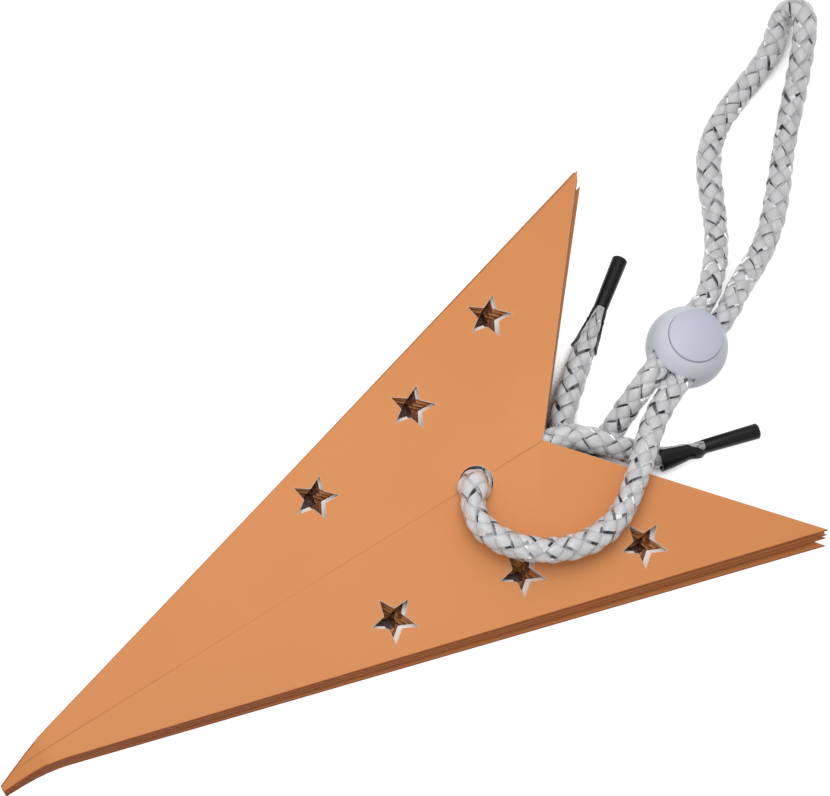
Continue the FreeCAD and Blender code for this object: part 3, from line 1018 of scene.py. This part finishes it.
def white_plastic(name, tint):
    """Smooth white plastic that lets a little light in."""
    material, tree, shader = new_material(name)
    unevenness(tree, shader, 0.01 * MM, Grain_Scale=700.0, Swell_Scale=150.0, Swell_Share=0.6)
    shader.inputs["Base Color"].default_value = tint
    shader.inputs["Roughness"].default_value = 0.38
    shader.inputs["Subsurface Weight"].default_value = 0.1
    shader.inputs["Subsurface Scale"].default_value = 1.5 * MM
    return material


def moulded(node, name, body, material, edge):
    """A merged copy of a moulded solid, with slightly rounded edges and smooth shading."""
    piece = merged_copy(node, name)
    limits = {"limit_method": "ANGLE", "angle_limit": MOULDED_FROM}
    apply_modifier(piece, "BEVEL", width=edge, segments=3, **limits)
    smooth_up_to(piece, MOULDED_SMOOTHING)
    piece.data.materials.append(material)
    stands_for(piece, node, body)
    return piece


BALL_WHITE = white_plastic("ball plastic", colour(216, 220, 231))
BUTTON_WHITE = white_plastic("button plastic", colour(198, 202, 219))
ball = moulded("cord_lock_body", "lock_ball", "star", BALL_WHITE, 0.15 * MM)
button = moulded("cord_lock_plunger", "lock_button", "plunger", BUTTON_WHITE, 0.2 * MM)
print("ball faces", len(ball.data.polygons), "and button faces", len(button.data.polygons))

# %% [markdown]
# A bevel opens the gap round the button more than a moulded edge would. A narrower bevel
# would lose the round, so the button is made a hair wider about its own axis instead.

# %% Close the gap round the button
BUTTON_GROWTH = 1.016
to_frame = Matrix.Translation(LOCK_CENTRE) @ LOCK_TURN.to_4x4()
grown = to_frame @ Matrix.Diagonal((BUTTON_GROWTH, BUTTON_GROWTH, 1, 1)) @ to_frame.inverted()
button.data.transform(grown)
print("the button is", round(100 * (BUTTON_GROWTH - 1), 1), "percent wider")

# %% [markdown]
# ## The barbs
#
# Each end of the cord sits in a barb rolled from black sheet. It is open like a trough round
# the cord, and closes to a thin rod. The sheet is dark and a little glossy, but with a low
# shine, so that it stays black in the soft light.

# %% Black sheet


def black_plastic():
    """Nearly black plastic sheet."""
    material, tree, shader = new_material("black barb")
    unevenness(tree, shader, 0.02 * MM, Grain_Scale=900.0, Swell_Scale=250.0, Swell_Share=0.4)
    shader.inputs["Base Color"].default_value = colour(13, 13, 16)
    shader.inputs["Roughness"].default_value = 0.35
    shader.inputs["Specular IOR Level"].default_value = 0.2
    return material


BARB_BLACK = black_plastic()
print("barb material:", BARB_BLACK.name)

# %% [markdown]
# The solid barb is a plain trough. On the real one the sheet draws in towards the rod, its
# rims nearly meet there, and the open side faces another way on each barb. The trough is cut
# across with bisect, so that it has corners to move, and each corner is then pinched, drawn
# in and turned in the barb's own directions.

# %% Shape a barb
GRIP_LENGTH = 5.6 * MM
NECK_LENGTH = 3.3 * MM
NECK_PINCH = 0.3
PINCH_ONSET = 1.4
GRIP_BORE = 2.35 * MM
WALL_THICKENING = 0.9
RIM_START = 0.9 * MM
RIM_HEIGHT = 0.6 * MM
BARB_CUTS = 12


def barb_frame(end, before):
    """The barb's own frame: at the cord's end, with X outwards and Z up."""
    outward = (end - before).normalized()
    left = Vector((0, 0, 1)).cross(outward).normalized()
    upward = outward.cross(left)
    turn = Matrix((outward, left, upward)).transposed().to_4x4()
    return Matrix.Translation(end) @ turn


def cut_across(piece, place):
    """Cut the trough and the neck into short stretches."""
    only(piece)
    bpy.ops.object.mode_set(mode="EDIT")
    for share in range(1, BARB_CUTS):
        along = -GRIP_LENGTH + (GRIP_LENGTH + NECK_LENGTH) * share / BARB_CUTS
        bpy.ops.mesh.select_all(action="SELECT")
        cut = place @ Vector((along, 0, 0))
        bpy.ops.mesh.bisect(plane_co=cut, plane_no=place.col[0].to_3d())
    bpy.ops.object.mode_set(mode="OBJECT")


def wrap_barb(piece, place, twist, rim_closing):
    """Pinch the trough towards the rod, close its rims and turn its open side."""
    cut_across(piece, place)
    back_to_frame = place.inverted()
    for vertex in piece.data.vertices:
        local = back_to_frame @ vertex.co
        if local.x > NECK_LENGTH:
            continue
        on_grip = min(1, max(0, (local.x + GRIP_LENGTH) / GRIP_LENGTH))
        on_neck = min(1, max(0, local.x / NECK_LENGTH))
        pinch = 1 - NECK_PINCH * on_grip**PINCH_ONSET * (1 - on_neck)
        above = max(0, local.z + RIM_START) / (RIM_START + RIM_HEIGHT)
        closing = rim_closing * on_grip * (1 - on_neck**2) * above
        turn = Matrix.Rotation(twist * (1 - on_neck), 3, "X")
        if math.hypot(local.y, local.z) < GRIP_BORE:
            pinch *= WALL_THICKENING
        side = turn @ Vector((0, local.y * pinch * (1 - closing), local.z * pinch))
        vertex.co = place @ Vector((local.x, side.y, side.z))


print("a barb's trough and neck:", round((GRIP_LENGTH + NECK_LENGTH) / MM, 1), "mm")

# %% [markdown]
# The two barbs differ only in which way they are turned, and in how far their rims close. So
# one loop finishes both.

# %% Finish the barbs
BARB_ROUND = 0.06 * MM
BARB_EDGE_FROM = 0.7
for name, end, before, twist, rim_closing in (
    ("barb_1", back[0], back[1], -3, 0.85),
    ("barb_2", front[-1], front[-2], -95, 0.1),
):
    shell = merged_copy(name, f"black_{name}")
    wrap_barb(shell, barb_frame(end, before), math.radians(twist), rim_closing)
    limits = {"limit_method": "ANGLE", "angle_limit": BARB_EDGE_FROM}
    apply_modifier(shell, "BEVEL", width=BARB_ROUND, segments=2, **limits)
    smooth_up_to(shell, MOULDED_SMOOTHING)
    shell.data.materials.append(BARB_BLACK)
    stands_for(shell, name, "star")
    print(name, "faces", len(shell.data.polygons), "turned by", twist, "degrees")

# %% [markdown]
# ## The spring
#
# A short steel coil under the button pushes it up. It is hidden inside the ball, so a copy of
# the solid only gets its metal. Pressing the real button flattens the coil towards its foot;
# here the coil keeps its shape.

# %% Spring steel


def spring_steel():
    """Drawn steel wire."""
    material, _, shader = new_material("spring steel")
    shader.inputs["Base Color"].default_value = colour(190, 190, 194)
    shader.inputs["Metallic"].default_value = 1.0
    shader.inputs["Roughness"].default_value = 0.35
    return material


spring = merged_copy("cord_lock_spring", "lock_spring")
smooth_up_to(spring, MOULDED_SMOOTHING)
spring.data.materials.append(spring_steel())
stands_for(spring, "cord_lock_spring", "star")
print("spring faces", len(spring.data.polygons))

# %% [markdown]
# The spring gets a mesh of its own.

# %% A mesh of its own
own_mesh(spring)

# %% [markdown]
#
# It leaves at the notch, out of the top arm, and goes back in through the hole in the top
# sheet.

# %% The braid in place of the plain cord
stands_for(braid, "cord", "star")

# %% [markdown]
# ## The white floor
#
# The star lies on a plain white surface. Light strong enough to make it white would wash out
# the card. So the floor glows a little by itself where it is open, and only the eye, mirrors
# and glass see the glow. Close to the star ambient occlusion takes the glow away, which paints
# soft shadows. Deep in the windows the floor's colour is a painted dark brown shade, for the
# shade there and for light that has bounced between copper sheets.

# %% Floor
PAINTED_WINDOW_SHADE = colour(84, 38, 20)
OPEN_FLOOR = (0.6, 0.6, 0.6, 1)
OPEN_GLOW = 0.85
SHADOW_REACH = 8 * MM
bpy.ops.mesh.primitive_plane_add(size=6)
floor = bpy.context.active_object
floor.name = "floor"


def seen_or_mirrored(tree):
    """One for rays from the eye, from gloss and through glass, and nothing for the rest."""
    ray = tree.nodes.new("ShaderNodeLightPath")
    seen = maths(tree, "MAXIMUM", ray.outputs["Is Camera Ray"], ray.outputs["Is Glossy Ray"])
    return maths(tree, "MAXIMUM", seen, ray.outputs["Is Transmission Ray"])


def floor_white():
    """A floor that is seen as white and takes shadows, with painted shade near the star and in its
    windows.
    """
    material, tree, shader = new_material("white floor")
    shader.inputs["Roughness"].default_value = 1.0
    shader.inputs["Specular IOR Level"].default_value = 0.0
    open_sky = add(tree, "ShaderNodeAmbientOcclusion", Distance=SHADOW_REACH, samples=8)
    lit = add(tree, "ShaderNodeMapRange", From_Min=0.2, From_Max=0.4, To_Max=OPEN_GLOW)
    lit.interpolation_type = "SMOOTHSTEP"
    tree.links.new(open_sky.outputs["AO"], lit.inputs["Value"])
    glow = add(tree, "ShaderNodeEmission", Color=(1, 1, 1, 1))
    tree.links.new(lit.outputs["Result"], glow.inputs["Strength"])
    shade = mix(tree, lit.outputs["Result"], PAINTED_WINDOW_SHADE, OPEN_FLOOR)
    tree.links.new(shade, shader.inputs["Base Color"])
    both = tree.nodes.new("ShaderNodeAddShader")
    tree.links.new(shader.outputs[0], both.inputs[0])
    tree.links.new(glow.outputs[0], both.inputs[1])
    choice = tree.nodes.new("ShaderNodeMixShader")
    tree.links.new(seen_or_mirrored(tree), choice.inputs["Fac"])
    tree.links.new(shader.outputs[0], choice.inputs[1])
    tree.links.new(both.outputs[0], choice.inputs[2])
    tree.links.new(choice.outputs[0], tree.nodes["Material Output"].inputs["Surface"])
    return material


floor.data.materials.append(floor_white())
print("floor:", round(floor.dimensions.x, 1), "m wide")

# %% [markdown]
# ## Light
#
# The world gives an even light from all round, and is kept low so that colours render as they
# are written. The eye sees it as white all the same.

# %% World
WORLD_LIGHT = 0.42
SEEN_WORLD = 1.0
world = bpy.data.worlds.new("studio")
bpy.context.scene.world = world
world.use_nodes = True
sky = world.node_tree
backdrop = sky.nodes["Background"]
backdrop.inputs["Color"].default_value = (1, 1, 1, 1)
level = add(sky, "ShaderNodeMapRange", To_Min=WORLD_LIGHT, To_Max=SEEN_WORLD)
sky.links.new(seen_or_mirrored(sky), level.inputs["Value"])
sky.links.new(level.outputs["Result"], backdrop.inputs["Strength"])
print("world light:", WORLD_LIGHT)

# %% [markdown]
# One soft lamp close above the star makes the light fall off a little towards the corners,
# and a second one lifts the hanging loop. Both are area lamps, because a wide lamp gives the
# soft shadow edges that the cord casts on the card.

# %% Lamps


def soft_lamp(name, place, target, width, watts):
    """A square area lamp that looks at a point."""
    bpy.ops.object.light_add(type="AREA", location=place)
    lamp = bpy.context.active_object
    lamp.name = name
    lamp.data.size = width
    lamp.data.energy = watts
    lamp.rotation_euler = (Vector(place) - Vector(target)).to_track_quat("Z", "Y").to_euler()
    print(name, "at", place, "with", watts, "W")


soft_lamp("key lamp", (-0.01, 0.02, 0.23), (0.0, 0.01, 0.0), 0.16, 0.25)
soft_lamp("fill lamp", (0.22, 0.2, 0.4), (0.1, 0.02, 0), 0.3, 0.35)

# %% [markdown]
# ## Camera
#
# The camera's place and lens come from matching the outline of the top arm. It looks down
# from the side of the closed tip with a long lens.

# %% Camera
SENSOR_WIDTH = 36.0
PHOTO_WIDTH = 830
FOCAL_PIXELS = 3187.7
CAMERA_PLACE = (-0.0976860, -0.1041064, 0.5517928)
CAMERA_TURN = (17.2916, -3.6729, -33.0416)
bpy.ops.object.camera_add(location=CAMERA_PLACE)
camera = bpy.context.active_object
camera.rotation_euler = [math.radians(angle) for angle in CAMERA_TURN]
camera.data.sensor_width = SENSOR_WIDTH
camera.data.lens = FOCAL_PIXELS / PHOTO_WIDTH * SENSOR_WIDTH
camera.data.clip_start = 0.01
bpy.context.scene.camera = camera
bpy.context.scene.view_settings.view_transform = "Standard"
print("lens:", round(camera.data.lens, 1), "mm")

# %% [markdown]
# Last, nothing is left selected, and the scene is brought up to date.

# %% Finish
bpy.ops.object.select_all(action="DESELECT")
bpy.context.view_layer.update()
